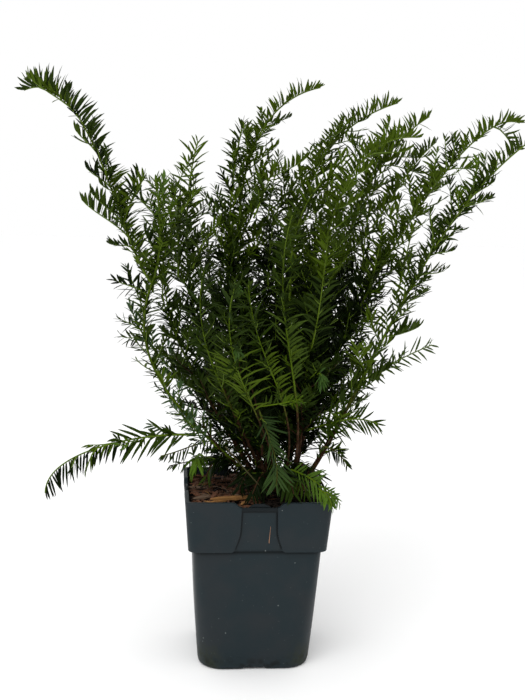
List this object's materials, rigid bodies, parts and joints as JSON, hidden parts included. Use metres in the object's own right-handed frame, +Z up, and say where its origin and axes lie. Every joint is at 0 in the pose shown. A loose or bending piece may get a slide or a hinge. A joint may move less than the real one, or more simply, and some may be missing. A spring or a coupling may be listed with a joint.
{
  "type": "potted english yew",
  "caption": "Young many-stemmed English yew with arching needle shoots, growing in a square nursery pot.",
  "frame": {"origin": "centre of the pot's flat underside", "axes": "+Z up the plant, -Y towards the pot's front side, +X to the right as seen from the front"},
  "size_m": [0.459, 0.3309, 0.5423],
  "materials": {
    "pot": "satin",
    "soil": "rough",
    "bark": "rough",
    "foliage": "satin"
  },
  "bodies": {
    "root": {"arch_rise": "foliage", "arch_tip": "foliage", "back_centre_spray": "foliage", "back_centre_stem": "bark", "back_left_spray": "foliage", "back_left_stem": "bark", "back_low_left_spray": "foliage", "back_low_right_spray": "foliage", "back_right_spray": "foliage", "back_right_stem": "bark", "bottom_right_spray": "foliage", "centre_arch_rise": "foliage", "centre_arch_stem": "bark", "centre_arch_tip": "foliage", "centre_left_rise": "foliage", "centre_left_stem": "bark", "centre_left_top": "foliage", "far_right_spray": "foliage", "far_right_stem": "bark", "front_middle_spray": "foliage", "front_middle_stem": "bark", "front_right_spray": "foliage", "front_right_stem": "bark", "front_tall_spray": "foliage", "front_tall_stem": "bark", "hanging_front_spray": "foliage", "left_back_rise": "foliage", "left_back_stem": "bark", "left_back_top": "foliage", "left_cluster_spray": "foliage", "left_front_tuft": "foliage", "left_inner_spray": "foliage", "left_inner_stem": "bark", "left_middle_spray": "foliage", "left_middle_stem": "bark", "left_outer_stem": "bark", "left_shoulder": "foliage", "low_back_left_spray": "foliage", "low_left_spray": "foliage", "low_left_stem": "bark", "pale_right_spray": "foliage", "pot": "pot", "potting_soil": "soil", "right_back_rise": "foliage", "right_back_stem": "bark", "right_back_tip": "foliage", "right_long_rise": "foliage", "right_long_stem": "bark", "right_long_tip": "foliage", "right_middle_rise": "foliage", "right_middle_stem": "bark", "right_middle_tip": "foliage", "right_outer_rise": "foliage", "right_outer_stem": "bark", "right_outer_tip": "foliage", "right_thin_spray": "foliage", "right_top_rise": "foliage", "right_top_stem": "bark", "right_top_tip": "foliage", "root_crown": "bark"}
  },
  "joints": []
}
